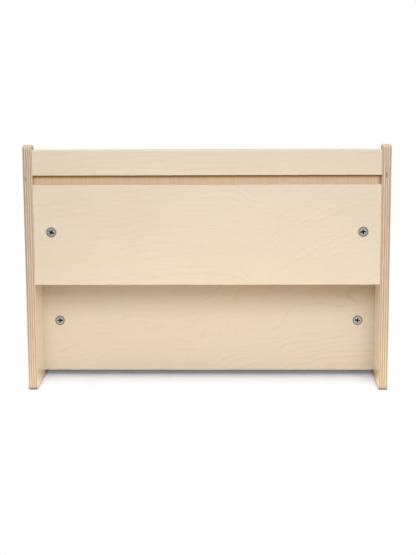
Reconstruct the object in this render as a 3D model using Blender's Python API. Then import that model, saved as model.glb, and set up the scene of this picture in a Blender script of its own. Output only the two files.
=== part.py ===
"""Two-tier front-facing bookshelf in birch plywood, held together by cam fittings and dowels.

Metres, +Z up. The books face -Y, the plain back faces +Y, and the origin is on the floor
under the middle of the shelf. Two side boards carry two like back panels, two like shelves
and a front lip. Each panel has a housing groove in its back face: the shelf of the tier
behind slides into it, so the strip above the groove is that tier's lip. The top panel is
the same board, so its groove stays empty and shows at the back.
"""

import math

import bmesh
import bpy
from mathutils import Matrix, Vector

# Boards
WIDTH = 0.600  # over both sides
PLY = 0.015  # thickness of every board
TIER_RISE = 0.166  # from one tier's floor up to the next, and from a panel's foot to its groove
TIER_STEP = 0.085  # from one panel back to the next
LIP_RISE = 0.041  # of the strip above a groove, which holds in the books of the tier behind
GROOVE_DEPTH = 0.0095
FLOOR_GAP = 0.0125  # under the lower panel
LIP_DROP = 0.008  # how far the front lip reaches below its shelf
NOSE_RISE = 0.008  # of the sides above the upper panel
BACK_INSET = 0.002  # from the sides' back edges in to the upper panel
FRONT_MARGIN = 0.013  # from a panel's front face to the sides' front edge

# Edges and corners
SIDE_ROUND = 0.002  # round-over along the sides' edges
BOARD_ROUND = 0.0008  # round-over along the long edges of the other boards
NOSE_BACK_RADIUS = 0.006
NOSE_FRONT_RADIUS = 0.014
TOE_TOP_RADIUS = 0.030
TOE_FOOT_RADIUS = 0.012
HEEL_RADIUS = 0.0025

# Cam fittings, each a cam in a board's face and a bolt from the side into the board's end
CAM_BACKSET = 0.029  # from the side to the cam's axis
CAM_HEIGHT = 0.088  # above a panel's lower edge
SHELF_CAM_INSET = 0.022  # from a shelf's back edge
CAM_DIAMETER = 0.015
CAM_FOOT = 0.0005  # of the cam's body past the bolt's ball
CAM_BORE_SPARE = 0.0005
RIM_DIAMETER = 0.017
RIM_EDGE = 0.0003
RIM_RISE = 0.0007  # of the sloping rim up to the flat face
FACE_DIAMETER = 0.0122
CHAMBER_DIAMETER = 0.010
CAM_DRAW = 0.001  # how far the chamber lies off the cam's axis
MOUTH_ARC = math.radians(245)  # that the bolt's neck can travel round the cam
RECESS_DEPTH = 0.0026
CROSS_REACH = 0.0042
CROSS_WIDTH = 0.0022
POINTER_REACH = 0.0048
POINTER_WIDTH = 0.0030
BALL_DIAMETER = 0.007
NECK_DIAMETER = 0.0045
NECK_LENGTH = 0.0090  # from the ball's middle
SHANK_DIAMETER = 0.007
THREAD_DIAMETER = 0.006
LOCK_TURNS = {  # how far each panel's cam is turned past straight, seen from behind
    ("upper_back_panel", "right"): math.radians(-25),
    ("upper_back_panel", "left"): math.radians(8),
    ("lower_back_panel", "right"): math.radians(4),
    ("lower_back_panel", "left"): math.radians(-6),
}

# Dowels
DOWEL_DIAMETER = 0.008
DOWEL_LENGTH = 0.030
DOWEL_CHAMFER = 0.001
PANEL_DOWEL_RISE = 0.023  # above a panel's lower edge
PANEL_DOWEL_DROP = 0.015  # below its groove
SHELF_DOWEL_INSET = 0.020  # from a shelf's front edge
LIP_DOWEL_RISE = 0.009  # above the front lip's groove
LIP_DOWEL_DROP = 0.012  # below its top edge

# Fits and facets
FIT = 0.0003  # gap between pieces that touch
SIDE_SKIN = 0.005  # wood left behind a bore in a side
END_SPARE = 0.0005  # bore left over past a dowel's or a bolt's end
OVERRUN = 0.002  # of a cutter past the face that it cuts
ARC_STEP = math.radians(15)
ROUND_SEGMENTS = 3
BORE_SIDES = 12
PIN_SIDES = 12
CAM_SIDES = 24

# Sizes that follow from those above
HALF_PLY = PLY / 2
GROOVE_HEIGHT = PLY + 2 * FIT
PANEL_HEIGHT = TIER_RISE + GROOVE_HEIGHT + LIP_RISE
PANEL_TOP = FLOOR_GAP + TIER_RISE + PANEL_HEIGHT
LIP_HEIGHT = LIP_DROP + GROOVE_HEIGHT + LIP_RISE
SHELF_DEPTH = TIER_STEP - PLY - 2 * FIT + GROOVE_DEPTH
SIDE_HEIGHT = PANEL_TOP + NOSE_RISE
SIDE_DEPTH = BACK_INSET + 2 * TIER_STEP + PLY + FRONT_MARGIN
INNER_HALF = WIDTH / 2 - PLY
BOARD_HALF = INNER_HALF - FIT
BACK_Y = SIDE_DEPTH / 2
CAM_X = INNER_HALF - CAM_BACKSET
CAM_DEPTH = HALF_PLY + BALL_DIAMETER / 2 + CAM_FOOT
CAM_BORE_DEPTH = CAM_DEPTH + CAM_BORE_SPARE
BALL_OFFSET = CHAMBER_DIAMETER / 2 - BALL_DIAMETER / 2 - FIT - CAM_DRAW
SIDE_BORE_DEPTH = PLY - SIDE_SKIN
DEPTH_IN_SIDE = SIDE_BORE_DEPTH - END_SPARE
DOWEL_IN_BOARD = DOWEL_LENGTH - DEPTH_IN_SIDE

SIDES = (("left", -1), ("right", 1))

# Colour, roughness and metallic value of each finish
FINISHES = {
    "birch_plywood": ((0.77, 0.64, 0.47), 0.45, 0.0),
    "zinc": ((0.50, 0.50, 0.49), 0.35, 1.0),
    "steel": ((0.56, 0.56, 0.56), 0.30, 1.0),
    "beech": ((0.60, 0.42, 0.26), 0.60, 0.0),
}


def panel_y(row):
    """The back face of a panel, counted from the back: 0 upper, 1 lower, 2 the front lip."""
    return BACK_Y - BACK_INSET - row * TIER_STEP


def panel_z(row):
    """The lower edge of the upper (0) or lower (1) back panel, which is its tier's floor."""
    return FLOOR_GAP + (1 - row) * TIER_RISE


def shelf_place(row):
    """Where a shelf's lower back edge lies: against its panel, on the groove in front."""
    return panel_y(row) - PLY - FIT, panel_z(row) + FIT


def clear_scene():
    for obj in list(bpy.data.objects):
        bpy.data.objects.remove(obj, do_unlink=True)


def finish(name):
    """The material of this name, made once."""
    if name in bpy.data.materials:
        return bpy.data.materials[name]
    colour, roughness, metallic = FINISHES[name]
    material = bpy.data.materials.new(name)
    material.use_nodes = True
    shader = material.node_tree.nodes["Principled BSDF"]
    shader.inputs["Base Color"].default_value = (*colour, 1.0)
    shader.inputs["Roughness"].default_value = roughness
    shader.inputs["Metallic"].default_value = metallic
    return material


def mesh_from(name, bm):
    """Closes a bmesh into a named mesh, faces outwards and shaded smooth up to its sharp edges."""
    bmesh.ops.recalc_face_normals(bm, faces=bm.faces)
    mesh = bpy.data.meshes.new(name)
    bm.to_mesh(mesh)
    bm.free()
    mesh.shade_smooth()
    mesh.set_sharp_from_angle(angle=math.radians(30))
    return mesh


def place(name, mesh, finish_name, parent, location=(0, 0, 0), turn=None):
    """An object of this mesh under the parent, at a place and a turn."""
    if not mesh.materials:
        mesh.materials.append(finish(finish_name))
    obj = bpy.data.objects.new(name, mesh)
    bpy.context.scene.collection.objects.link(obj)
    obj.parent = parent
    obj.location = location
    if turn is not None:
        obj.rotation_euler = turn.to_euler()
    return obj


def fillet(before, corner, after, radius):
    """The points of an arc of this radius that rounds one corner of an outline."""
    if radius == 0:
        return [corner]
    back = (before - corner).normalized()
    on = (after - corner).normalized()
    half = back.angle(on) / 2
    turn = math.pi - 2 * half
    centre = corner + (back + on).normalized() * radius / math.sin(half)
    start = corner + back * radius / math.tan(half) - centre
    end = corner + on * radius / math.tan(half) - centre
    steps = max(2, math.ceil(turn / ARC_STEP))
    arc = []
    for step in range(steps + 1):
        share = step / steps
        arc.append(
            centre + (start * math.sin((1 - share) * turn) + end * math.sin(share * turn)) / math.sin(turn)
        )
    return arc


def rounded(corners):
    """An outline through (across, up, radius) corners, each rounded by its own radius."""
    spots = [Vector((across, up)) for across, up, _ in corners]
    outline = []
    for index, (_, _, radius) in enumerate(corners):
        after = spots[(index + 1) % len(spots)]
        outline += fillet(spots[index - 1], spots[index], after, radius)
    return outline


def prism(bm, outline, to_point, travel):
    """Extrudes a flat outline, set in space by to_point, along a vector."""
    face = bm.faces.new([bm.verts.new(to_point(spot)) for spot in outline])
    made = bmesh.ops.extrude_face_region(bm, geom=[face])["geom"]
    moved = [item for item in made if isinstance(item, bmesh.types.BMVert)]
    bmesh.ops.translate(bm, verts=moved, vec=travel)
    return face, [item for item in made if isinstance(item, bmesh.types.BMFace)][-1]


def lathe(bm, profile, sides):
    """Turns (radius, height) points about +Z. The profile starts and ends on the axis."""
    verts = [bm.verts.new((radius, 0, height)) for radius, height in profile]
    edges = [bm.edges.new(pair) for pair in zip(verts, verts[1:])]
    bmesh.ops.spin(
        bm, geom=verts + edges, cent=(0, 0, 0), axis=(0, 0, 1), angle=2 * math.pi, steps=sides,
        use_merge=True,
    )
    bmesh.ops.remove_doubles(bm, verts=bm.verts, dist=FIT / 10)


def cut(mesh, cutters):
    """A copy of the mesh with each cutter mesh taken out of it in turn."""
    helpers = [bpy.data.objects.new("cut_blank", mesh)]
    bpy.context.scene.collection.objects.link(helpers[0])
    for cutter in cutters:
        helper = bpy.data.objects.new("cutter", cutter)
        bpy.context.scene.collection.objects.link(helper)
        helper.hide_render = True
        helper.display_type = "WIRE"
        boolean = helpers[0].modifiers.new("cut", "BOOLEAN")
        boolean.operation = "DIFFERENCE"
        boolean.object = helper
        helpers.append(helper)
    bpy.context.view_layer.update()
    graph = bpy.context.evaluated_depsgraph_get()
    result = bpy.data.meshes.new_from_object(helpers[0].evaluated_get(graph))
    result.name = mesh.name
    for helper in helpers:
        bpy.data.objects.remove(helper, do_unlink=True)
    return result


def bores(holes):
    """One cutter mesh for round holes, each (mouth, direction, diameter, depth)."""
    bm = bmesh.new()
    for mouth, direction, diameter, depth in holes:
        way = Vector(direction)
        middle = Vector(mouth) + way * (depth - OVERRUN) / 2
        turn = Vector((0, 0, 1)).rotation_difference(way).to_matrix().to_4x4()
        bmesh.ops.create_cone(
            bm, cap_ends=True, segments=BORE_SIDES, radius1=diameter / 2, radius2=diameter / 2,
            depth=depth + OVERRUN, matrix=Matrix.Translation(middle) @ turn,
        )
    return mesh_from("bores", bm)


def end_bores(places, diameter, depth):
    """Holes at these (y, z) places into both ends of a board."""
    holes = []
    for y, z in places:
        for _, sign in SIDES:
            holes.append(((sign * BOARD_HALF, y, z), (-sign, 0, 0), diameter, depth))
    return holes


def fitted_board(name, outline, cam_way, bolts, dowels):
    """A board of this (y, z) outline with bores for its cams, bolts and dowels."""
    bm = bmesh.new()
    prism(bm, outline, lambda spot: (-BOARD_HALF, *spot), (2 * BOARD_HALF, 0, 0))
    blank = mesh_from(name, bm)
    face = Vector(cam_way) * HALF_PLY
    cam_holes = []
    for y, z in bolts:
        for _, sign in SIDES:
            mouth = Vector((sign * CAM_X, y, z)) + face
            cam_holes.append((mouth, -Vector(cam_way), CAM_DIAMETER + 2 * FIT, CAM_BORE_DEPTH))
    shank_holes = end_bores(bolts, SHANK_DIAMETER + 2 * FIT, CAM_BACKSET - FIT)
    dowel_holes = end_bores(dowels, DOWEL_DIAMETER + 2 * FIT, DOWEL_IN_BOARD + END_SPARE)
    cutters = [bores(cam_holes)] if cam_holes else []
    return cut(blank, [*cutters, bores(shank_holes + dowel_holes)])


def grooved_outline(height, groove_foot):
    """A panel's section: a board with a housing groove in its back face."""
    groove_top = groove_foot + GROOVE_HEIGHT
    return rounded(
        [
            (0, 0, BOARD_ROUND),
            (-PLY, 0, BOARD_ROUND),
            (-PLY, height, BOARD_ROUND),
            (0, height, BOARD_ROUND),
            (0, groove_top, 0),
            (-GROOVE_DEPTH, groove_top, 0),
            (-GROOVE_DEPTH, groove_foot, 0),
            (0, groove_foot, 0),
        ]
    )


def panel_bolts():
    return [(-HALF_PLY, CAM_HEIGHT)]


def panel_dowels():
    return [(-HALF_PLY, PANEL_DOWEL_RISE), (-HALF_PLY, TIER_RISE - PANEL_DOWEL_DROP)]


def shelf_bolts():
    return [(-SHELF_CAM_INSET, HALF_PLY)]


def shelf_dowels():
    return [(SHELF_DOWEL_INSET - SHELF_DEPTH, HALF_PLY)]


def lip_dowels():
    groove_top = LIP_DROP + GROOVE_HEIGHT
    return [(-HALF_PLY, groove_top + LIP_DOWEL_RISE), (-HALF_PLY, LIP_HEIGHT - LIP_DOWEL_DROP)]


def panel_mesh():
    outline = grooved_outline(PANEL_HEIGHT, TIER_RISE)
    return fitted_board("back_panel", outline, (0, 1, 0), panel_bolts(), panel_dowels())


def shelf_mesh():
    outline = rounded(
        [
            (0, 0, BOARD_ROUND),
            (-SHELF_DEPTH, 0, BOARD_ROUND),
            (-SHELF_DEPTH, PLY, BOARD_ROUND),
            (0, PLY, BOARD_ROUND),
        ]
    )
    return fitted_board("shelf", outline, (0, 0, -1), shelf_bolts(), shelf_dowels())


def lip_mesh():
    outline = grooved_outline(LIP_HEIGHT, LIP_DROP)
    return fitted_board("front_lip", outline, (0, 1, 0), [], lip_dowels())


def board_places():
    """Each board across the shelf, with its (y, z) place and its ends' bolts and dowels."""
    rows = ((0, "upper"), (1, "lower"))
    boards = [(f"{tier}_back_panel", (panel_y(row), panel_z(row)), panel_bolts(), panel_dowels())
              for row, tier in rows]
    boards += [(f"{tier}_shelf", shelf_place(row), shelf_bolts(), shelf_dowels())
               for row, tier in rows]
    boards.append(("front_lip", (panel_y(2), FLOOR_GAP - LIP_DROP), [], lip_dowels()))
    return boards


def moved(places, origin):
    return [(origin[0] + y, origin[1] + z) for y, z in places]


def side_outline():
    """The side's shape: upright back, narrow nose, a front edge along the tiers' slope, a toe."""
    slope = TIER_STEP / TIER_RISE
    toe_y = BACK_Y - SIDE_DEPTH
    line_y = panel_y(0) - PLY - FRONT_MARGIN
    nose_y = line_y + NOSE_RISE * slope
    toe_z = PANEL_TOP - (line_y - toe_y) / slope
    return rounded(
        [
            (BACK_Y, 0, HEEL_RADIUS),
            (toe_y, 0, TOE_FOOT_RADIUS),
            (toe_y, toe_z, TOE_TOP_RADIUS),
            (nose_y, SIDE_HEIGHT, NOSE_FRONT_RADIUS),
            (BACK_Y, SIDE_HEIGHT, NOSE_BACK_RADIUS),
        ]
    )


def side_mesh(label, sign):
    """A side board, rounded over on all its edges, with blind bores in its inner face."""
    bm = bmesh.new()
    caps = prism(bm, side_outline(), lambda spot: (sign * INNER_HALF, *spot), (sign * PLY, 0, 0))
    rims = {edge for cap in caps for edge in cap.edges}
    bmesh.ops.bevel(
        bm, geom=list(rims), offset=SIDE_ROUND, segments=ROUND_SEGMENTS, profile=0.5,
        affect="EDGES",
    )
    holes = []
    for _, origin, bolts, dowels in board_places():
        for spots, diameter in ((bolts, THREAD_DIAMETER), (dowels, DOWEL_DIAMETER)):
            for y, z in moved(spots, origin):
                mouth = (sign * INNER_HALF, y, z)
                holes.append((mouth, (sign, 0, 0), diameter + 2 * FIT, SIDE_BORE_DEPTH))
    return cut(mesh_from(f"{label}_side", bm), [bores(holes)])


def cross_outline():
    """A cross recess with one arm longer and wider, which points away from the bolt."""
    arms = [(POINTER_REACH, POINTER_WIDTH / 2)] + 3 * [(CROSS_REACH, CROSS_WIDTH / 2)]
    ways = [Vector((1, 0)), Vector((0, 1)), Vector((-1, 0)), Vector((0, -1))]
    outline = []
    for index, (reach, half) in enumerate(arms):
        way = ways[index]
        last = ways[index - 1]
        outline.append(way * arms[index - 1][1] + last * half)
        outline.append(way * reach + last * half)
        outline.append(way * reach - last * half)
    return outline


def keyhole_outline():
    """The cam's chamber for the bolt's ball, off the axis, and the mouth where the ball enters."""
    radius = CHAMBER_DIAMETER / 2
    mouth = BALL_DIAMETER / 2 + FIT
    gape = math.asin(mouth / radius)
    outline = []
    for step in range(PIN_SIDES + 1):
        angle = gape + step / PIN_SIDES * 2 * (math.pi - gape)
        outline.append(Vector((CAM_DRAW + radius * math.cos(angle), radius * math.sin(angle))))
    return outline + [Vector((CAM_DIAMETER, -mouth)), Vector((CAM_DIAMETER, mouth))]


def slot_outline():
    """The part of a round that the bolt's neck sweeps as the cam is turned to lock."""
    steps = math.ceil(MOUTH_ARC / ARC_STEP)
    outline = [Vector((0, 0))]
    for step in range(steps + 1):
        angle = step / steps * MOUTH_ARC
        outline.append(CAM_DIAMETER * Vector((math.cos(angle), math.sin(angle))))
    return outline


def cam_cutter(outline, low, high):
    bm = bmesh.new()
    prism(bm, outline, lambda spot: (*spot, low), (0, 0, high - low))
    return mesh_from("cam_cutter", bm)


def cam_mesh():
    """A cam with its face up and the board's surface at height 0."""
    body = CAM_DIAMETER / 2
    rim = RIM_DIAMETER / 2
    face = FIT + RIM_EDGE + RIM_RISE
    profile = [
        (0, -CAM_DEPTH),
        (body, -CAM_DEPTH),
        (body, FIT),
        (rim, FIT),
        (rim, FIT + RIM_EDGE),
        (FACE_DIAMETER / 2, face),
        (0, face),
    ]
    bm = bmesh.new()
    lathe(bm, profile, CAM_SIDES)
    blank = mesh_from("cam", bm)
    ball_room = BALL_DIAMETER / 2 + FIT
    neck_room = NECK_DIAMETER / 2 + FIT
    return cut(
        blank,
        [
            cam_cutter(keyhole_outline(), -CAM_DEPTH - OVERRUN, -HALF_PLY + ball_room),
            cam_cutter(slot_outline(), -HALF_PLY - neck_room, -HALF_PLY + neck_room),
            cam_cutter(cross_outline(), face - RECESS_DEPTH, face + OVERRUN),
        ],
    )


def bolt_mesh():
    """A bolt along +Z from its ball's middle: ball, neck, shank, and the thread in the side."""
    ball = BALL_DIAMETER / 2
    neck = NECK_DIAMETER / 2
    shank = SHANK_DIAMETER / 2
    thread = THREAD_DIAMETER / 2
    seat = CAM_BACKSET - FIT - BALL_OFFSET
    tip = seat + FIT + DEPTH_IN_SIDE
    meet = math.asin(neck / ball)
    steps = math.ceil((math.pi - meet) / (2 * ARC_STEP))
    profile = []
    for step in range(steps + 1):
        angle = step / steps * (math.pi - meet)
        profile.append((ball * math.sin(angle), -ball * math.cos(angle)))
    profile += [
        (neck, NECK_LENGTH),
        (shank, NECK_LENGTH + shank - neck),
        (shank, seat),
        (thread, seat),
        (thread, tip - thread / 2),
        (thread / 2, tip),
        (0, tip),
    ]
    bm = bmesh.new()
    lathe(bm, profile, PIN_SIDES)
    return mesh_from("cam_bolt", bm)


def dowel_mesh():
    """A chamfered dowel along +Z, with the joint between board and side at height 0."""
    radius = DOWEL_DIAMETER / 2
    low = -DOWEL_IN_BOARD
    high = DEPTH_IN_SIDE
    profile = [
        (0, low),
        (radius - DOWEL_CHAMFER, low),
        (radius, low + DOWEL_CHAMFER),
        (radius, high - DOWEL_CHAMFER),
        (radius - DOWEL_CHAMFER, high),
        (0, high),
    ]
    bm = bmesh.new()
    lathe(bm, profile, PIN_SIDES)
    return mesh_from("dowel", bm)


def frame_turn(x_way, z_way):
    """The turn whose local X and Z lie along these two ways."""
    x_axis = Vector(x_way)
    z_axis = Vector(z_way)
    return Matrix((x_axis, z_axis.cross(x_axis), z_axis)).transposed()


def place_boards(shelf):
    for label, sign in SIDES:
        place(f"{label}_side", side_mesh(label, sign), "birch_plywood", shelf)
    panel = panel_mesh()
    board = shelf_mesh()
    meshes = {
        "upper_back_panel": panel,
        "lower_back_panel": panel,
        "upper_shelf": board,
        "lower_shelf": board,
        "front_lip": lip_mesh(),
    }
    for name, origin, _, _ in board_places():
        place(name, meshes[name], "birch_plywood", shelf, (0, *origin))


def place_cams(shelf):
    """A cam and its bolt at each end of the panels, from behind, and of the shelves, from below."""
    cam = cam_mesh()
    bolt = bolt_mesh()
    for name, origin, bolts, _ in board_places():
        way = Vector((0, 0, -1)) if name.endswith("shelf") else Vector((0, 1, 0))
        for y, z in moved(bolts, origin):
            for label, sign in SIDES:
                turn = frame_turn((-sign, 0, 0), way)
                lock = Matrix.Rotation(LOCK_TURNS.get((name, label), 0), 3, "Z")
                face = Vector((sign * CAM_X, y, z)) + way * HALF_PLY
                place(f"{name}_cam_{label}", cam, "zinc", shelf, face, turn @ lock)
                ball = (sign * (CAM_X + BALL_OFFSET), y, z)
                along = frame_turn((0, 1, 0), (sign, 0, 0))
                place(f"{name}_bolt_{label}", bolt, "steel", shelf, ball, along)


def place_dowels(shelf):
    dowel = dowel_mesh()
    for name, origin, _, dowels in board_places():
        for number, (y, z) in enumerate(moved(dowels, origin), start=1):
            for label, sign in SIDES:
                along = frame_turn((0, 1, 0), (sign, 0, 0))
                joint = (sign * INNER_HALF, y, z)
                place(f"{name}_dowel_{label}_{number}", dowel, "beech", shelf, joint, along)


def main():
    clear_scene()
    shelf = bpy.data.objects.new("bookshelf", None)
    bpy.context.scene.collection.objects.link(shelf)
    place_boards(shelf)
    place_cams(shelf)
    place_dowels(shelf)


main()
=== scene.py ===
import math

import bmesh
import bpy
from bpy.props import FloatProperty, FloatVectorProperty, IntProperty, PointerProperty
from bpy.types import Operator, Panel, PropertyGroup
from mathutils import Euler, Matrix, Vector


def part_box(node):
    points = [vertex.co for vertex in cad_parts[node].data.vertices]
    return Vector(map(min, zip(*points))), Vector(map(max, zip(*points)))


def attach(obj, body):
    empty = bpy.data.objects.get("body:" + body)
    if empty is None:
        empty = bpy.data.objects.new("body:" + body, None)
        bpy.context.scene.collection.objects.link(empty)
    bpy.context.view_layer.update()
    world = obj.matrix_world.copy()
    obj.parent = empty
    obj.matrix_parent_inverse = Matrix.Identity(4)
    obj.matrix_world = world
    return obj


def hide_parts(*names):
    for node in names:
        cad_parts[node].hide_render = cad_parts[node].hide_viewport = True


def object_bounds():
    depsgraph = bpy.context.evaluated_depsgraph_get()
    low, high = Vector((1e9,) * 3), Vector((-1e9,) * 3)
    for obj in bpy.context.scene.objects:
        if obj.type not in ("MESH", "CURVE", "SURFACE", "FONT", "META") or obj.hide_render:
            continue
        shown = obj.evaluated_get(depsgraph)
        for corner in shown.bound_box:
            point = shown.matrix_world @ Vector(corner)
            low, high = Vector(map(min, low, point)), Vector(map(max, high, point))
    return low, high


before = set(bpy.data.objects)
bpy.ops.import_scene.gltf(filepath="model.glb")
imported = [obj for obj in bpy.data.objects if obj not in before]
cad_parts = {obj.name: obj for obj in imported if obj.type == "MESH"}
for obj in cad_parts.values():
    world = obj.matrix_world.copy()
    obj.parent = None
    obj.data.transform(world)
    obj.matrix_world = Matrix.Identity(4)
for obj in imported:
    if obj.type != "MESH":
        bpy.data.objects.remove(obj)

bl_info = {
    "name": "Two-tier bookshelf",
    "version": (1, 0, 0),
    "blender": (4, 5, 0),
    "location": "3D View > Sidebar > Bookshelf",
    "description": "Plywood boards, cam fittings, bolts and dowels of a low display bookshelf",
    "category": "Object",
}

CAD_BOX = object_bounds()
BODY = "root"
SIDES = (("left", -1), ("right", 1))
TIERS = ("upper", "lower")
SIDE_NODES = tuple(f"{label}_side" for label, _ in SIDES)
CAM_BOARDS = tuple(f"{tier}_{board}" for board in ("back_panel", "shelf") for tier in TIERS)
SIDE_LOW, SIDE_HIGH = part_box("right_side")
PANEL_LOW, PANEL_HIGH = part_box("upper_back_panel")
SHELF_MIDDLE = (0.0, 0.0, 0.2)
WHITE = (1.0, 1.0, 1.0, 1.0)

MERGE = 1e-6
CLOSE_END = 0.0001  # an end nearer to a side than this keeps its sharp edges
SHARP_EDGE = math.radians(50)
CUT_OVERRUN = 0.002  # of a cutter past the face that it cuts

# Distances over which the floor changes: from the middle, where it gives back less light and where
# it turns plain white, and out from the shelf's ends, where it turns white sooner.
FLOOR_DIMS = (0.35, 0.70)
FLOOR_CLEARS = (0.45, 0.9)
FLOOR_CLEARS_BESIDE = (-0.002, 0.012)


def colour(name, description, default, most=1.0):
    return FloatVectorProperty(
        name=name, description=description, subtype="COLOR", size=3, min=0.0, max=most, default=default,
    )


def length(name, description, default):
    return FloatProperty(
        name=name, description=description, unit="LENGTH", precision=5, min=0.0, default=default,
    )


def angle(name, description, degrees):
    return FloatProperty(
        name=name, description=description, subtype="ANGLE", default=math.radians(degrees),
    )


def share(name, description, default):
    return FloatProperty(name=name, description=description, min=0.0, default=default)


def count(name, description, least, default):
    return IntProperty(name=name, description=description, min=least, default=default)


class PlywoodSettings(PropertyGroup):
    """Colours and sizes of the birch plywood."""

    veneer: colour("Veneer", "Pale birch of the face plies", (0.80, 0.685, 0.53))
    warm_veneer: colour("Warm veneer", "Pinker patches of the face plies", (0.74, 0.55, 0.37))
    growth_line: colour("Growth lines", "Brown lines of the figure", (0.60, 0.39, 0.18))
    cross_ply: colour("Cross plies", "Inner plies seen along their grain", (0.78, 0.57, 0.35))
    end_grain: colour("End grain", "Plies cut across their grain", (0.445, 0.29, 0.19))
    glue: colour("Glue lines", "Between the plies", (0.33, 0.20, 0.11))
    # Painted shade at the feet and at one end of the groove; also the colour of the sides' knots.
    knot_and_shade: colour("Knots and shade", "Burnt, worn and knotty spots", (0.36, 0.17, 0.06))
    # Painted shade in the groove's upper corner and at its other end.
    groove_shade: colour("Groove shade", "Wood just browned by the cutter", (0.47, 0.18, 0.012))
    fleck: colour("Flecks", "Small brown flecks in the veneer", (0.30, 0.16, 0.07))
    thickness: length("Thickness", "Of every board", SIDE_HIGH.x - SIDE_LOW.x)
    face_ply: length("Face ply", "Thickness of the two sanded outer plies", 0.0011)
    inner_plies: count("Inner plies", "Between the face plies", 1, 7)
    waver: length("Waver", "How far the plies stray from level", 0.0004)
    sheen: share("Sheen", "Of the fine fibres, seen aslant", 0.25)
    joint: length("Joint", "Gap between the sides and the boards' ends", 0.00003)
    open_joint: length("Open joint", "The same gap beside the upper back panel", 0.0003)
    arris: length("Arris", "Softened width of the sharp edges", 0.00012)


class CamSettings(PropertyGroup):
    """Sizes and colours of the cam fittings."""

    zinc: colour("Zinc", "Dull die-cast face", (0.465, 0.473, 0.487))
    # Painted shade: a darker copy of the zinc on the sloping rim; also the colour of the zinc's cloudy
    # patches.
    rim_shade_and_patch_zinc: colour("Dark zinc", "Sloping rim", (0.300, 0.297, 0.293))
    # Painted shade: near black inside the cross recess, where little light reaches.
    pit: colour("Recess", "Inside the cross", (0.006, 0.0057, 0.0054))
    body_diameter: length("Body diameter", "Of the cam in its bore", 0.015)
    body_depth: length("Body depth", "Below the board's surface", 0.0115)
    rim_diameter: length("Rim diameter", "Over the covering rim", 0.017)
    rim_foot: length("Rim foot", "Gap under the rim", 0.0003)
    rim_edge: length("Rim edge", "Upright part of the rim", 0.0003)
    rim_rise: length("Rim rise", "Of the slope up to the face", 0.0007)
    face_diameter: length("Face diameter", "Of the flat face", 0.0122)
    recess_depth: length("Recess depth", "Of the cross", 0.0026)
    cross_reach: length("Arm length", "Of the three short arms", 0.0042)
    cross_width: length("Arm width", "Of the three short arms", 0.0022)
    pointer_reach: length("Pointer length", "Of the arm that shows the lock", 0.0048)
    pointer_width: length("Pointer width", "Of the arm that shows the lock", 0.0030)
    post_radius: length("Post radius", "Of the stub in the middle of the cross", 0.0005)
    post_drop: length("Post drop", "Of the stub's end below the face", 0.0010)
    chamber_diameter: length("Chamber diameter", "Room for the bolt's ball", 0.010)
    draw: length("Draw", "How far the chamber lies off the axis", 0.001)
    ball_room: length("Ball room", "Half the height of the chamber", 0.0038)
    neck_room: length("Neck room", "Half the height of the slot for the neck", 0.00255)
    mouth_arc: angle("Mouth arc", "That the neck can travel round the cam", 245)
    sides: count("Sides", "Of the turned shape", 12, 64)


class BoltSettings(PropertyGroup):
    """Sizes and colours of the ball-headed bolts."""

    steel: colour("Steel", "Bright plated steel", (0.56, 0.56, 0.55))
    dull_steel: colour("Dull steel", "Blotches in the plating", (0.40, 0.39, 0.36))
    ball_radius: length("Ball radius", "Of the head", 0.0035)
    neck_radius: length("Neck radius", "Behind the ball", 0.00225)
    neck_length: length("Neck length", "From the ball's middle", 0.009)
    shank_radius: length("Shank radius", "Of the thick middle", 0.0035)
    thread_radius: length("Thread radius", "Over the thread", 0.003)
    core_radius: length("Core radius", "Under the thread", 0.0022)
    pitch: length("Pitch", "From one turn of the thread to the next", 0.0019)
    sides: count("Sides", "Of the turned shape", 12, 32)


class DowelSettings(PropertyGroup):
    """Sizes and colours of the dowels."""

    beech: colour("Beech", "Bare beech", (0.60, 0.42, 0.26))
    dark_beech: colour("Dark beech", "Streaks and flecks", (0.40, 0.23, 0.12))
    radius: length("Radius", "Over the ribs", 0.004)
    chamfer: length("Chamfer", "At both ends", 0.001)
    flute_depth: length("Flute depth", "Between the ribs", 0.00035)
    flutes: count("Flutes", "Round the dowel", 3, 18)


class StageSettings(PropertyGroup):
    """Light, floor and camera."""

    floor: colour("Floor", "Floor as it lights the shelf", (0.97, 0.885, 0.78))
    floor_seen: colour("Floor seen", "Floor as the camera sees it", (0.97, 1.01, 1.07), 2.0)
    floor_glow: colour("Floor glow", "Light in the floor's shadows, to the camera", (0.115, 0.13, 0.15))
    floor_far: share("Floor further out", "How much of its light the floor further out gives back", 0.12)
    floor_radius: length("Floor radius", "Of the round floor", 12.0)
    sky: colour("Even light", "Colour of the light from all round", (1.0, 0.97, 0.92))
    low_sky: share("Low even light", "Its strength at the level of the floor", 0.06)
    high_sky: share("High even light", "Its strength overhead", 0.05)
    front_sky: share("Front even light", "Strength of the light from before the shelf", 0.70)
    side_sky: share("Side even light", "Strength of the light from beside the shelf", 0.90)
    key: colour("Key colour", "Of the soft lights", (0.935, 0.965, 0.99))
    key_power: share("Key light", "Strength of each of the two lights beside the camera", 1.165)
    key_distance: length("Light distance", "Of the key lights from the shelf", 2.6)
    key_breadth: angle("Key breadth", "Angle that each key light spans", 28.0)
    key_rise: angle("Key rise", "Of the key lights above the floor", 28.0)
    key_swing: angle("Key swing", "Of each key light to its side", 9.0)
    key_shift: angle("Key shift", "Of both key lights to one side", 6.0)
    top_power: share("Top light", "Watts of the light overhead", 35.0)
    card_power: share("Card", "Watts that a card on the floor throws up at the back panels", 1.02)
    fill: colour("Fill colour", "Of the light that the card throws", (1.0, 0.94, 0.86))
    lens: FloatProperty(name="Lens", description="Focal length", subtype="DISTANCE_CAMERA", default=90.672)
    camera_place: FloatVectorProperty(
        name="Camera", description="Where the camera stands", subtype="TRANSLATION", size=3,
        default=(-0.051388, 2.366651, 0.603380),
    )
    heading: angle("Heading", "Of the camera, from +Y", 181.2610)
    tilt: angle("Tilt", "Of the camera, from straight down", 79.6927)
    roll: angle("Roll", "Of the camera", -0.2877)


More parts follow.
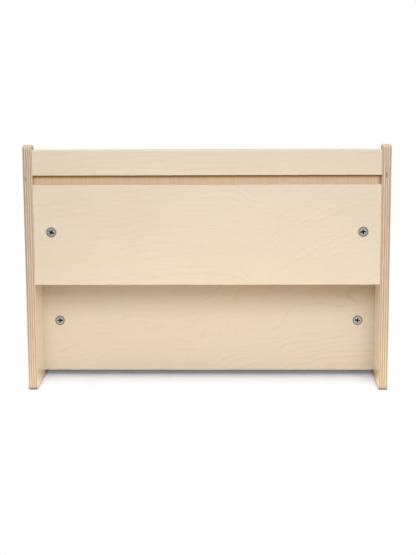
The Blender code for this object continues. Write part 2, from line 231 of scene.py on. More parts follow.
SETTINGS = {
    "bookshelf_plywood": PlywoodSettings,
    "bookshelf_cam": CamSettings,
    "bookshelf_bolt": BoltSettings,
    "bookshelf_dowel": DowelSettings,
    "bookshelf_stage": StageSettings,
}

# Each board's turn brings its grain along X, its width along Y and its thickness along Z.
LEVEL_TURN = (0.0, 0.0, 0.0)
PANEL_TURN = (-math.pi / 2, 0.0, 0.0)
SIDE_TURN = (0.0, math.pi / 2, 0.0)

# The lie of the growth lines from one end of a board to the other, as shares of rise_height.
STRAIGHT = ((0.0, 0.2), (0.35, 0.3), (0.7, 0.25), (1.0, 0.4))
UPPER_RISE = (
    (0.0, 0.0), (0.19, 0.13), (0.385, 0.28), (0.50, 0.30), (0.58, 0.27), (0.655, 0.14),
    (0.70, 0.31), (0.78, 0.54), (1.0, 1.0),
)
LOWER_RISE = (
    (0.0, 0.0), (0.25, 0.25), (0.33, 0.26), (0.45, 0.27), (0.60, 0.52), (0.67, 0.53),
    (0.76, 0.76), (0.91, 0.91), (1.0, 1.0),
)

# The groove of the upper back panel
GROOVE_TOP = PANEL_HIGH.z - 0.0410
GROOVE_FOOT = GROOVE_TOP - 0.0156
GROOVE_FLOOR = PANEL_HIGH.y - 0.0095

# Painted shade, each as a colour, a strength and the spans over which it sets in: at the feet, where
# they meet the floor, and in the groove's upper corner and at its ends. These stop just behind the groove's
# faces.
FOOT_SHADE = ("knot_and_shade", 0.9, (("Z", 0.0042, 0.0021),))
IN_GROOVE = (
    ("Z", GROOVE_TOP + 0.0007, GROOVE_TOP + 0.0002),
    ("Z", GROOVE_FOOT - 0.0008, GROOVE_FOOT - 0.0002),
    ("Y", PANEL_HIGH.y - 0.0015, PANEL_HIGH.y - 0.0055),
    ("Y", GROOVE_FLOOR - 0.0008, GROOVE_FLOOR - 0.0002),
)
# Painted shade in the groove's upper corner and at both its ends.
GROOVE_CORNER_SHADE = ("groove_shade", 0.72, (*IN_GROOVE, ("Z", GROOVE_TOP - 0.0076, GROOVE_TOP - 0.0011)))
GROOVE_LEFT_END_SHADE = ("knot_and_shade", 0.7, (*IN_GROOVE, ("X", PANEL_LOW.x + 0.0072, PANEL_LOW.x + 0.0007)))
GROOVE_RIGHT_END_SHADE = ("groove_shade", 0.35, (*IN_GROOVE, ("X", PANEL_HIGH.x - 0.0072, PANEL_HIGH.x - 0.0017)))

# Knots in the plies of the sides' back edges, each as a strength, a middle and a reach.
LEFT_KNOT = (0.95, (-0.2925, 0.100, 0.360), (0.0018, 0.006, 0.008))
RIGHT_KNOT = (0.8, (0.2955, 0.100, 0.355), (0.0018, 0.006, 0.006))

SIDE_LOOK = dict(
    turn=SIDE_TURN, boldness=(0.20, 0.20), warmth=0.15, spacing=0.011, tint=(0.96, 0.96, 0.96),
    marks=(FOOT_SHADE,),
)
PLAIN_LOOK = dict(boldness=(0.24, 0.24), warmth=0.35)
LOOKS = {
    "left_side": dict(SIDE_LOOK, seed=3.0, knots=(LEFT_KNOT,)),
    "right_side": dict(SIDE_LOOK, seed=8.0, knots=(RIGHT_KNOT,)),
    "upper_back_panel": dict(
        turn=PANEL_TURN, seed=14.0, boldness=(0.13, 0.13), warmth=0.12, spacing=0.0115, wander=2.0,
        flecks=0.06, rise=UPPER_RISE, rise_height=0.119, marks=(GROOVE_CORNER_SHADE, GROOVE_LEFT_END_SHADE, GROOVE_RIGHT_END_SHADE),
    ),
    "lower_back_panel": dict(
        turn=PANEL_TURN, seed=21.0, boldness=(0.22, 0.42), warmth=0.18, spacing=0.016, wander=7.0,
        # Its greyer tint is partly the board's own tone and partly painted shade from the upper panel's
        # overhang.
        line_width=0.28, flecks=0.22, rise=LOWER_RISE, rise_height=0.138, tint=(0.825, 0.845, 0.86),
    ),
    "upper_shelf": dict(PLAIN_LOOK, turn=LEVEL_TURN, seed=27.0, spacing=0.012),
    "lower_shelf": dict(PLAIN_LOOK, turn=LEVEL_TURN, seed=33.0, spacing=0.013),
    "front_lip": dict(PLAIN_LOOK, turn=PANEL_TURN, seed=41.0, spacing=0.012),
}
LOCK_TURNS = {
    "upper_back_panel_cam_left": math.radians(8),
    "upper_back_panel_cam_right": math.radians(-25),
    "lower_back_panel_cam_left": math.radians(-6),
    "lower_back_panel_cam_right": math.radians(4),
}

NUMBER = "NodeSocketFloat"
WHOLE_NUMBER = "NodeSocketInt"
VECTOR = "NodeSocketVector"
COLOUR = "NodeSocketColor"
GEOMETRY = "NodeSocketGeometry"
MATERIAL = "NodeSocketMaterial"


class Field:
    """One output of a node, which takes part in sums as a number does."""

    def __init__(self, tree, socket):
        self.tree = tree
        self.socket = socket

    def __add__(self, other):
        return calc("ADD", self, other)

    def __sub__(self, other):
        return calc("SUBTRACT", self, other)

    def __rsub__(self, other):
        return calc("SUBTRACT", other, self)

    def __mul__(self, other):
        return calc("MULTIPLY", self, other)

    def __truediv__(self, other):
        return calc("DIVIDE", self, other)

    def __neg__(self):
        return self * -1.0


class Outputs:
    """A node, whose outputs are found by name or number."""

    def __init__(self, tree, node):
        self.tree = tree
        self.node = node

    def __getitem__(self, key):
        return Field(self.tree, self.node.outputs[key])


def rgba(value):
    return (*value, 1.0)


def feed(socket, value):
    """Gives a socket a link or a plain value."""
    if isinstance(value, Field):
        value.tree.links.new(value.socket, socket)
    else:
        socket.default_value = value


def feed_all(sockets, values):
    for key, value in values.items():
        feed(sockets[key], value)


def put(tree, kind, label, inputs=None, **choices):
    """A node of this kind, its choices set and its inputs linked or given values."""
    node = tree.nodes.new(kind)
    node.name = label
    node.label = label
    for key, value in choices.items():
        setattr(node, key, value)
    feed_all(node.inputs, inputs or {})
    return Outputs(tree, node)


def calc(operation, *values):
    """One step of arithmetic."""
    tree = next(value.tree for value in values if isinstance(value, Field))
    return put(tree, "ShaderNodeMath", operation.title(), dict(enumerate(values)), operation=operation)[0]


def ease(value, start, end, low=0.0, high=1.0, label="Ease", way="SMOOTHSTEP"):
    """A soft step from low to high as the value goes from start to end."""
    inputs = {"Value": value, 1: start, 2: end, 3: low, 4: high}
    return put(value.tree, "ShaderNodeMapRange", label, inputs, interpolation_type=way)[0]


def spread(value, start, end, low, high):
    """A straight step from low to high as the value goes from start to end."""
    return ease(value, start, end, low, high, "Spread", "LINEAR")


def split(vector):
    return put(vector.tree, "ShaderNodeSeparateXYZ", "Split", {0: vector})


def combine(tree, x=0.0, y=0.0, z=0.0):
    return put(tree, "ShaderNodeCombineXYZ", "Combine", {0: x, 1: y, 2: z})[0]


def span(vector):
    """A vector's length."""
    return put(vector.tree, "ShaderNodeVectorMath", "Span", {0: vector}, operation="LENGTH")["Value"]


def weakened(tone, factor):
    """A colour times a factor."""
    inputs = {0: tone, "Scale": factor}
    return put(factor.tree, "ShaderNodeVectorMath", "Weaken", inputs, operation="SCALE")[0]


def off_axis(place):
    """How far a place lies from the Z axis."""
    return calc("SQRT", place["X"] * place["X"] + place["Y"] * place["Y"])


def clouds(vector, scale=1.0, detail=2.0, roughness=0.5):
    inputs = {"Vector": vector, "Scale": scale, "Detail": detail, "Roughness": roughness}
    return put(vector.tree, "ShaderNodeTexNoise", "Clouds", inputs)[0]


def draw_lots(value, label):
    """A chance number from nought to one for each value."""
    return put(value.tree, "ShaderNodeTexWhiteNoise", label, {"W": value}, noise_dimensions="1D")["Value"]


def blend(factor, first, second):
    """Two colours mixed."""
    return put(factor.tree, "ShaderNodeMix", "Blend", {0: factor, 6: first, 7: second}, data_type="RGBA")[2]


def relief(height, strength, distance):
    """The normal of a surface that this height roughens."""
    inputs = {"Height": height, "Strength": strength, "Distance": distance}
    return put(height.tree, "ShaderNodeBump", "Relief", inputs)[0]


def new_group(name, kind, inputs, outputs):
    """An empty node group with sockets named by type, its entry's outputs and its exit's inputs."""
    tree = bpy.data.node_groups.new(name, kind)
    for way, sockets in (("INPUT", inputs), ("OUTPUT", outputs)):
        for socket_type, labels in sockets.items():
            for label in labels:
                tree.interface.new_socket(name=label, in_out=way, socket_type=socket_type)
    given = Outputs(tree, tree.nodes.new("NodeGroupInput"))
    return tree, given, tree.nodes.new("NodeGroupOutput").inputs


def ply_layers_group():
    """Which ply lies at a place in a board, and how much of it shows as end grain."""
    tree, given, made = new_group(
        "Ply layers", "ShaderNodeTree",
        {VECTOR: ("Place", "Facing"), NUMBER: ("Thickness", "Face Ply", "Inner Plies", "Waver")},
        {NUMBER: ("Layer", "Crosswise", "End Grain", "Glue Line", "Edge")},
    )
    place = split(given["Place"])
    facing = split(given["Facing"])
    stray = clouds(given["Place"], 16.0, 1.0) - 0.5
    depth = stray * given["Waver"] + (place["Z"] + given["Thickness"] * 0.5)
    core = given["Thickness"] - given["Face Ply"] * 2.0
    room = core / given["Inner Plies"]
    level = (depth - given["Face Ply"]) / room
    raised = calc("FLOOR", level) + 1.0
    layer = calc("MINIMUM", calc("MAXIMUM", raised, 0.0), given["Inner Plies"] + 1.0)
    crosswise = calc("MODULO", layer, 2.0)
    along = facing["X"] * facing["X"] * 0.5
    across = facing["Y"] * facing["Y"]
    off_middle = calc("ABSOLUTE", calc("FRACT", level) - 0.5)
    to_glue = (0.5 - off_middle) * room
    edge = 1.0 - facing["Z"] * facing["Z"]
    feed_all(made, {
        "Layer": layer,
        "Crosswise": crosswise,
        "End Grain": crosswise * (across - along) + along,
        "Glue Line": edge * ease(to_glue, 0.00005, 0.00025, 1.0, 0.0),
        "Edge": edge,
    })
    return tree


def growth_lines_group():
    """The figure of a peeled veneer: wandering growth lines, some bold and some faint."""
    tree, given, made = new_group(
        "Growth lines", "ShaderNodeTree",
        {NUMBER: ("Along", "Across", "Rise", "Spacing", "Wander", "Line Width", "Seed")},
        {NUMBER: ("Line", "Patch")},
    )

    def field(along, across, offset, detail=2.0):
        vector = combine(tree, given["Along"] * along, given["Across"] * across, given["Seed"] + offset)
        return clouds(vector, 1.0, detail)

    slow = field(5.0, 14.0, 0.0) - 0.5
    quick = field(34.0, 100.0, 3.3, 1.0) - 0.5
    height = (given["Across"] - given["Rise"]) / given["Spacing"]
    bent = quick * 0.55 + (slow * given["Wander"] + height)
    part = calc("FRACT", bent)
    crest = 0.90
    ridge = ease(part, crest - given["Line Width"], crest) * ease(part, crest, 1.0, 1.0, 0.0)
    lot = draw_lots(calc("FLOOR", bent) + given["Seed"], "Line strength")
    fade = ease(field(7.0, 22.0, 11.7), 0.36, 0.62, 0.3, 1.0)
    feed_all(made, {
        "Line": ridge * spread(lot, 0.0, 1.0, 0.3, 1.0) * fade,
        "Patch": ease(field(5.5, 13.0, 23.9), 0.34, 0.70),
    })
    return tree


def fibre_group():
    """Fine streaks along the grain, short flecks, and pores for cut ends."""
    tree, given, made = new_group(
        "Wood fibre", "ShaderNodeTree",
        {NUMBER: ("Along", "Across", "Depth", "Seed")},
        {NUMBER: ("Streak", "Fleck", "Pore")},
    )

    def field(along, across, offset, detail):
        deep = given["Depth"] * across + (given["Seed"] + offset)
        vector = combine(tree, given["Along"] * along, given["Across"] * across, deep)
        return clouds(vector, 1.0, detail, 0.6)

    feed_all(made, {
        "Streak": field(16.0, 420.0, 0.0, 3.0),
        "Fleck": ease(field(75.0, 340.0, 5.1, 1.0), 0.75, 0.82),
        "Pore": field(1500.0, 1500.0, 9.7, 1.0),
    })
    return tree


def plywood_group(layers, lines, fibre):
    """Birch plywood all through a board, in the board's own axes."""
    tree, given, made = new_group(
        "Birch plywood", "ShaderNodeTree",
        {
            VECTOR: ("Place", "Facing"),
            NUMBER: (
                "Rise", "Spacing", "Wander", "Boldness", "Line Width", "Warmth", "Flecks", "Seed",
                "Thickness", "Face Ply", "Inner Plies", "Waver",
            ),
            COLOUR: ("Veneer", "Warm Veneer", "Growth Line", "Cross Ply", "End Grain", "Glue", "Fleck"),
        },
        {COLOUR: ("Colour",), NUMBER: ("Roughness", "Gloss", "Height")},
    )

    def pass_on(*names):
        return {name: given[name] for name in names}

    ply = put(
        tree, "ShaderNodeGroup", "Ply layers",
        pass_on("Place", "Facing", "Thickness", "Face Ply", "Inner Plies", "Waver"), node_tree=layers,
    )
    crosswise = ply["Crosswise"]
    end = ply["End Grain"]
    edge = ply["Edge"]
    place = split(given["Place"])
    swap = place["Y"] - place["X"]
    grain = {"Along": place["X"] + crosswise * swap, "Across": place["Y"] - crosswise * swap}
    figure = put(
        tree, "ShaderNodeGroup", "Growth lines",
        {**grain, **pass_on("Rise", "Spacing", "Wander", "Line Width", "Seed")}, node_tree=lines,
    )
    seed = calc("MULTIPLY_ADD", ply["Layer"], 7.31, given["Seed"])
    strands = put(
        tree, "ShaderNodeGroup", "Wood fibre", {**grain, "Depth": place["Z"], "Seed": seed}, node_tree=fibre,
    )
    streak = strands["Streak"]
    line = figure["Line"] * given["Boldness"] * (1.0 - end)
    stain = (crosswise * 0.26 + 0.12) * spread(streak, 0.28, 0.72, 1.0, 0.0)
    lot = draw_lots(seed, "Ply tone")
    cut_share = end * spread(lot, 0.0, 1.0, 0.80, 1.0) * spread(strands["Pore"], 0.3, 0.7, 1.0, 0.8)
    run = (place["X"] + place["Y"]) * 30.0
    band = clouds(combine(tree, run, ply["Layer"] * 5.7, given["Seed"]), 1.0, 4.0, 0.65)
    blotch = (lot * 0.10 + ease(band, 0.42, 0.66, 0.0, 0.28)) * edge
    tone = blend(figure["Patch"] * given["Warmth"], given["Veneer"], given["Warm Veneer"])
    for factor, name in (
        (line, "Growth Line"),
        (crosswise * 0.75, "Cross Ply"),
        (stain, "Growth Line"),
        (cut_share, "End Grain"),
        (blotch, "End Grain"),
        (ply["Glue Line"] * 0.55, "Glue"),
        (strands["Fleck"] * (edge * 0.4 + given["Flecks"]), "Fleck"),
    ):
        tone = blend(factor, tone, given[name])
    feed_all(made, {
        "Colour": tone,
        "Roughness": end * 0.12 + spread(streak, 0.2, 0.8, 0.40, 0.52),
        "Gloss": spread(edge, 0.0, 1.0, 0.7, 0.1),
        "Height": streak - figure["Line"] * 0.25 - ply["Glue Line"] * 0.5 - strands["Pore"] * end * 0.6,
    })
    return tree


def metal_group():
    """Cloudy patches, fine grit and scratches of cast or plated metal."""
    tree, given, made = new_group(
        "Metal surface", "ShaderNodeTree",
        {VECTOR: ("Place",), NUMBER: ("Seed",)},
        {NUMBER: ("Cloud", "Grit", "Scratch")},
    )
    offset = combine(tree, given["Seed"], given["Seed"], given["Seed"])
    place = put(tree, "ShaderNodeVectorMath", "Shift", {0: given["Place"], 1: offset}, operation="ADD")[0]
    stretched = put(
        tree, "ShaderNodeMapping", "Stretch",
        {"Vector": place, "Rotation": (0.4, 0.7, 0.5), "Scale": (2600.0, 260.0, 900.0)},
    )[0]
    feed_all(made, {
        "Cloud": ease(clouds(place, 420.0, 3.0), 0.3, 0.7),
        "Grit": clouds(place, 3800.0, 2.0, 0.7),
        "Scratch": ease(clouds(stretched), 0.62, 0.72),
    })
    return tree


def once(name, make, *parts):
    """A node group of this name, made the first time it is asked for."""
    if name in bpy.data.node_groups:
        return bpy.data.node_groups[name]
    return make(*parts)


def plywood():
    return once(
        "Birch plywood", plywood_group,
        once("Ply layers", ply_layers_group),
        once("Growth lines", growth_lines_group),
        once("Wood fibre", fibre_group),
    )


def metal_surface(tree, where, seed):
    return put(
        tree, "ShaderNodeGroup", "Metal surface", {"Place": where["Object"], "Seed": seed},
        node_tree=once("Metal surface", metal_group),
    )


def new_material(name):
    """A material with a bare Principled shader: its tree, the shader's inputs, and where it lies."""
    material = bpy.data.materials.new(name)
    material.use_nodes = True
    tree = material.node_tree
    return material, tree, tree.nodes["Principled BSDF"].inputs, put(tree, "ShaderNodeTexCoord", "Where")


def lie_of_lines(along, rise):
    """How high the growth lines lie at each share of a board's length."""
    flow = put(along.tree, "ShaderNodeFloatCurve", "Lie of the lines", {1: along})
    mapping = flow.node.mapping
    points = mapping.curves[0].points
    points[0].location = rise[0]
    points[1].location = rise[-1]
    for spot in rise[1:-1]:
        points.new(*spot)
    mapping.update()
    return flow[0]


def darkened(tone, where, marks, knots):
    """A board's colour with its painted shade at the feet and in the groove, and its knots."""
    settings = bpy.context.scene.bookshelf_plywood
    place = split(where)
    # Each mark blends in painted shade: at the feet or in the groove.
    for stain, strength, spans in marks:
        dark = strength
        for axis, start, end in spans:
            dark = ease(place[axis], start, end) * dark
        tone = blend(dark, tone, rgba(getattr(settings, stain)))
    for strength, middle, reach in knots:
        inputs = {"Vector": where, "Location": middle, "Scale": reach}
        spot = put(tone.tree, "ShaderNodeMapping", "Knot", inputs, vector_type="TEXTURE")[0]
        tone = blend(ease(span(spot), 1.0, 0.2, 0.0, strength), tone, rgba(settings.knot_and_shade))
    return tone


def board_material(
    node, turn, seed, boldness, warmth, spacing, wander=4.0, line_width=0.45, flecks=0.3, rise=STRAIGHT,
    rise_height=0.04, tint=(1.0, 1.0, 1.0), marks=(), knots=(),
):
    """Birch plywood laid along one board: its grain, its width and its plies."""
    settings = bpy.context.scene.bookshelf_plywood
    material, tree, shader, where = new_material(f"birch_{node}")
    low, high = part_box(node)
    spin = Euler(turn).to_matrix()
    half_length = abs((spin @ (high - low)).x) / 2
    place = put(
        tree, "ShaderNodeMapping", "Board axes",
        {"Vector": where["Object"], "Rotation": turn, "Location": -(spin @ ((low + high) / 2))},
        vector_type="POINT",
    )[0]
    facing = put(
        tree, "ShaderNodeMapping", "Facing axes", {"Vector": where["Normal"], "Rotation": turn},
        vector_type="VECTOR",
    )[0]
    along = spread(split(place)["X"], half_length, -half_length, 0.0, 1.0)
    wood = put(
        tree, "ShaderNodeGroup", "Birch plywood",
        {
            "Place": place, "Facing": facing, "Rise": lie_of_lines(along, rise) * rise_height,
            "Spacing": spacing, "Wander": wander, "Boldness": spread(along, 0.2, 0.8, *boldness),
            "Line Width": line_width, "Warmth": warmth, "Flecks": flecks, "Seed": seed,
            "Thickness": settings.thickness, "Face Ply": settings.face_ply,
            "Inner Plies": float(settings.inner_plies), "Waver": settings.waver,
            "Veneer": rgba(Vector(settings.veneer) * Vector(tint)),
            "Warm Veneer": rgba(settings.warm_veneer), "Growth Line": rgba(settings.growth_line),
            "Cross Ply": rgba(settings.cross_ply), "End Grain": rgba(settings.end_grain),
            "Glue": rgba(settings.glue), "Fleck": rgba(settings.fleck),
        },
        node_tree=plywood(),
    )
    feed_all(shader, {
        "Base Color": darkened(wood["Colour"], where["Object"], marks, knots),
        "Roughness": wood["Roughness"],
        "Coat Weight": wood["Gloss"],
        "Coat Roughness": 0.18,
        "Sheen Weight": settings.sheen,
        "Sheen Roughness": 0.4,
        "Sheen Tint": rgba(settings.veneer),
        "Normal": relief(wood["Height"], 0.25, 0.0002),
    })
    return material


def zinc_material():
    """Dull die-cast zinc, with painted shade on the sloping rim and painted near-black shade in the recess.
    """
    settings = bpy.context.scene.bookshelf_cam
    material, tree, shader, where = new_material("cast_zinc")
    metal = metal_surface(tree, where, 2.0)
    rim = put(tree, "ShaderNodeAttribute", "Rim", attribute_name="rim")["Fac"]
    pit = put(tree, "ShaderNodeAttribute", "Pit", attribute_name="pit")["Fac"]
    dark = rgba(settings.rim_shade_and_patch_zinc)
    tone = blend(rim, rgba(settings.zinc), dark)
    tone = blend(metal["Cloud"] * 0.35, tone, dark)
    feed_all(shader, {
        "Base Color": blend(pit, tone, rgba(settings.pit)),
        "Metallic": spread(pit, 0.0, 1.0, 0.7, 1.0),
        "Roughness": rim * 0.25 + spread(metal["Cloud"], 0.0, 1.0, 0.42, 0.58),
        "Normal": relief(metal["Grit"] - metal["Scratch"] * 0.6, 0.2, 0.00005),
    })
    return material


def steel_material():
    """Bright plated steel, blotched where it was handled."""
    settings = bpy.context.scene.bookshelf_bolt
    material, tree, shader, where = new_material("plated_steel")
    metal = metal_surface(tree, where, 5.0)
    feed_all(shader, {
        "Base Color": blend(metal["Cloud"] * 0.6, rgba(settings.steel), rgba(settings.dull_steel)),
        "Metallic": 1.0,
        "Roughness": spread(metal["Cloud"], 0.0, 1.0, 0.26, 0.42),
        "Normal": relief(metal["Grit"] - metal["Scratch"] * 0.8, 0.15, 0.00004),
    })
    return material


def beech_material():
    """Bare beech along the dowels, with its small dark flecks."""
    settings = bpy.context.scene.bookshelf_dowel
    material, tree, shader, where = new_material("bare_beech")
    place = split(where["Object"])
    strands = put(
        tree, "ShaderNodeGroup", "Wood fibre",
        {"Along": place["X"], "Across": place["Y"], "Depth": place["Z"], "Seed": 52.0},
        node_tree=once("Wood fibre", fibre_group),
    )
    streak = strands["Streak"]
    dark = rgba(settings.dark_beech)
    tone = blend(spread(streak, 0.3, 0.75, 0.0, 0.55), rgba(settings.beech), dark)
    feed_all(shader, {
        "Base Color": blend(strands["Fleck"], tone, dark),
        "Roughness": spread(streak, 0.2, 0.8, 0.58, 0.74),
        "Normal": relief(streak, 0.3, 0.0001),
    })
    return material


def own(piece, slot, *nodes):
    """Lets a piece ride on the shelf and stand for its nodes; the slot is not used."""
    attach(piece, BODY)
    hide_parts(*nodes)


def even_shading(piece):
    even = piece.modifiers.new("Even shading", "WEIGHTED_NORMAL")
    even.keep_sharp = True


def close_ends(bm, node):
    """Brings a board's ends up to the sides, so that no light shows in the joints."""
    settings = bpy.context.scene.bookshelf_plywood
    low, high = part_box(node)
    joint = settings.open_joint if node == "upper_back_panel" else settings.joint
    for vert in bm.verts:
        if abs(vert.co.x - low.x) < MERGE:
            vert.co.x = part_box("left_side")[1].x + joint
        elif abs(vert.co.x - high.x) < MERGE:
            vert.co.x = SIDE_LOW.x - joint


def mark_arrises(bm):
    """Marks the sharp edges to soften: all but those round an end that meets a side."""
    weights = bm.edges.layers.float.new("bevel_weight_edge")
    for edge in bm.edges:
        meets_side = all(0.0 < SIDE_LOW.x - abs(vert.co.x) < CLOSE_END for vert in edge.verts)
        if not meets_side and edge.is_manifold and edge.calc_face_angle() > SHARP_EDGE:
            edge[weights] = 1.0


def make_board(node):
    """A board with the node's shape, its triangles joined, its sharp edges softened."""
    bm = bmesh.new()
    bm.from_mesh(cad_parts[node].data)
    bmesh.ops.remove_doubles(bm, verts=bm.verts, dist=MERGE)
    bmesh.ops.dissolve_limit(
        bm, angle_limit=math.radians(0.5), verts=bm.verts, edges=bm.edges, use_dissolve_boundaries=False,
    )
    if node not in SIDE_NODES:
        close_ends(bm, node)
    mark_arrises(bm)
    mesh = bpy.data.meshes.new(f"{node}_board")
    bm.to_mesh(mesh)
    bm.free()
    mesh.shade_smooth()
    mesh.materials.append(board_material(node, **LOOKS[node]))
    board = bpy.data.objects.new(mesh.name, mesh)
    bpy.context.scene.collection.objects.link(board)
    soften = board.modifiers.new("Arris", "BEVEL")
    soften.width = bpy.context.scene.bookshelf_plywood.arris
    soften.segments = 2
    soften.limit_method = "WEIGHT"
    soften.use_clamp_overlap = True
    even_shading(board)
    own(board, "birch_plywood", node)


def swept(label, curve, outline, **more):
    """A solid along a curve, with this outline."""
    inputs = {"Curve": curve, "Profile Curve": outline, "Fill Caps": True, **more}
    return put(curve.tree, "GeometryNodeCurveToMesh", label, inputs)[0]


def circle(tree, label, sides, radius):
    return put(tree, "GeometryNodeCurvePrimitiveCircle", label, {"Resolution": sides, "Radius": radius})[0]


def turned(tree, profile, sides):
    """A closed solid from (radius, height) pairs turned about Z."""
    line = put(tree, "GeometryNodeMeshLine", "Profile", {"Count": len(profile)})[0]
    index = put(tree, "GeometryNodeInputIndex", "Number")[0]

    def pick(label, values):
        switch = put(tree, "GeometryNodeIndexSwitch", label, {0: index}, data_type="FLOAT")
        items = switch.node.index_switch_items
        while len(items) < len(values):
            items.new()
        for number, value in enumerate(values):
            feed(switch.node.inputs[number + 1], value)
        return switch[0]

    height = combine(tree, z=pick("Heights", [height for _, height in profile]))
    radius = pick("Radii", [radius for radius, _ in profile])
    raised = put(tree, "GeometryNodeSetPosition", "Raise", {"Geometry": line, "Position": height})[0]
    spine = put(tree, "GeometryNodeMeshToCurve", "Spine", {"Mesh": raised})[0]
    return swept("Turn", spine, circle(tree, "Ring", sides, 1.0), Scale=radius)


def shift(geometry, x=0.0, z=0.0):
    inputs = {"Geometry": geometry, "Translation": combine(geometry.tree, x, 0.0, z)}
    return put(geometry.tree, "GeometryNodeTransform", "Shift", inputs)[0]


def block(tree, x, y, z):
    return put(tree, "GeometryNodeMeshCube", "Block", {"Size": combine(tree, x, y, z)})[0]


def joined(operation, first, *others):
    """Solids cut or fused."""
    label = operation.title()
    solid = put(first.tree, "GeometryNodeMeshBoolean", label, operation=operation, solver="EXACT")
    feed(solid.node.inputs["Mesh 1" if operation == "DIFFERENCE" else "Mesh 2"], first)
    for other in others:
        feed(solid.node.inputs["Mesh 2"], other)
    return solid[0]


def marked(geometry, name, value):
    """Stores a value on the points of a shape, for its finish."""
    inputs = {"Geometry": geometry, "Name": name, "Value": value}
    return put(
        geometry.tree, "GeometryNodeStoreNamedAttribute", name, inputs, data_type="FLOAT", domain="POINT",
    )[0]


def plant(given, made, shape):
    """Stands a shape at every point of the entry, turned as the point says, as one mesh."""
    tree = shape.tree
    turn = put(
        tree, "GeometryNodeInputNamedAttribute", "Turn", {"Name": "turn"}, data_type="FLOAT_VECTOR",
    )[0]
    rotation = put(tree, "FunctionNodeEulerToRotation", "Rotation", {0: turn})[0]
    stood = put(
        tree, "GeometryNodeInstanceOnPoints", "Stand",
        {"Points": given["Points"], "Instance": shape, "Rotation": rotation},
    )[0]
    real = put(tree, "GeometryNodeRealizeInstances", "Realize", {"Geometry": stood})[0]
    inputs = {"Geometry": real, "Material": given["Finish"]}
    feed(made["Shapes"], put(tree, "GeometryNodeSetMaterial", "Finish", inputs)[0])


def fitting_group(name, sizes):
    """An empty Geometry Nodes group for shapes at points, with an input for each size."""
    whole = [label for label, value in sizes.items() if isinstance(value, int)]
    broken = [label for label in sizes if label not in whole]
    inputs = {GEOMETRY: ("Points",), MATERIAL: ("Finish",), WHOLE_NUMBER: whole, NUMBER: broken}
    return new_group(name, "GeometryNodeTree", inputs, {GEOMETRY: ("Shapes",)})


def settings_values(settings):
    """The numbers of a PropertyGroup under their shown names."""
    values = {}
    for key, prop in settings.bl_rna.properties.items():
        if prop.type in {"FLOAT", "INT"} and not prop.is_array:
            values[prop.name] = getattr(settings, key)
    return values


def grow(name, spots, tree, values, finish, slot, nodes):
    """Runs a fitting's nodes at (place, turn) spots and keeps the result as one plain mesh."""
    mesh = bpy.data.meshes.new(f"{name}_spots")
    mesh.from_pydata([place for place, _ in spots], [], [])
    turns = mesh.attributes.new("turn", "FLOAT_VECTOR", "POINT")
    for number, (_, turn) in enumerate(spots):
        turns.data[number].vector = turn.to_euler()
    piece = bpy.data.objects.new(name, mesh)
    bpy.context.scene.collection.objects.link(piece)
    build = piece.modifiers.new("Build", "NODES")
    build.node_group = tree
    values = {**values, "Finish": finish}
    for item in tree.interface.items_tree:
        if item.in_out == "INPUT" and item.name in values:
            build[item.identifier] = values[item.name]
    bpy.context.view_layer.update()
    graph = bpy.context.evaluated_depsgraph_get()
    made = bpy.data.meshes.new_from_object(piece.evaluated_get(graph))
    if not made.polygons:
        raise RuntimeError(f"the nodes of {name} made no faces")
    piece.modifiers.clear()
    piece.data = made
    bpy.data.meshes.remove(mesh)
    made.name = name
    made.shade_smooth()
    made.set_sharp_from_angle(angle=math.radians(35))
    even_shading(piece)
    own(piece, slot, *nodes)


def axes_turn(x_way, z_way):
    """The turn whose local X and Z lie along these two ways."""
    x_axis = Vector(x_way)
    z_axis = Vector(z_way)
    return Matrix((x_axis, z_axis.cross(x_axis), z_axis)).transposed()


def cam_profile(given, low, edge, face):
    """The cam's outline from its chamfered foot past the sloping rim to its face."""
    chamfer = 0.0004
    soft = 0.00012
    body = given["Body diameter"] * 0.5
    rim = given["Rim diameter"] * 0.5
    flat = given["Face diameter"] * 0.5
    slope = rim - flat
    foot = given["Rim foot"]
    return [
        (body - chamfer, low),
        (body, low + chamfer),
        (body, foot),
        (rim, foot + MERGE),
        (rim, edge - soft * 2 / 3),
        (rim - soft, edge + soft / 6),
        (slope * 0.12 + flat, face - given["Rim rise"] * 0.14),
        (slope * 0.03 + flat, face - soft / 4),
        (flat - soft, face),
    ]


def cross_cuts(tree, given, face):
    """The cross recess: its pointer, the short arm behind it and the two beside it."""
    tall = given["Recess depth"] + CUT_OVERRUN
    middle = tall * 0.5 + face - given["Recess depth"]
    pointer = block(tree, given["Pointer length"], given["Pointer width"], tall)
    back_arm = block(tree, given["Arm length"], given["Arm width"], tall)
    side_arms = block(tree, given["Arm width"], given["Arm length"] * 2.0, tall)
    return (
        shift(pointer, given["Pointer length"] * 0.5, middle),
        shift(back_arm, given["Arm length"] * -0.5, middle),
        shift(side_arms, 0.0, middle),
    )


def ball_cuts(tree, given, low):
    """Room for the bolt: the ball's chamber and mouth, open below, and the slot for its neck."""
    axis = bpy.context.scene.bookshelf_plywood.thickness * -0.5
    roof = given["Ball room"] + axis
    tall = roof - low + CUT_OVERRUN
    middle = roof - tall * 0.5
    chamber = put(
        tree, "GeometryNodeMeshCylinder", "Chamber",
        {"Vertices": 40, "Radius": given["Chamber diameter"] * 0.5, "Depth": tall},
    )[0]
    mouth = block(tree, given["Body diameter"], given["Ball room"] * 2.0, tall)
    sector = put(
        tree, "GeometryNodeCurveArc", "Sector",
        {
            "Resolution": 24, "Radius": given["Body diameter"], "Sweep Angle": given["Mouth arc"],
            "Connect Center": True,
        },
        mode="RADIUS",
    )[0]
    ends = {
        "Start": combine(tree, z=axis - given["Neck room"]),
        "End": combine(tree, z=given["Neck room"] + axis),
    }
    rail = put(tree, "GeometryNodeCurvePrimitiveLine", "Rail", ends)[0]
    return (
        shift(chamber, given["Draw"], middle),
        shift(mouth, given["Body diameter"] * 0.5 + given["Draw"], middle),
        swept("Neck slot", rail, sector),
    )


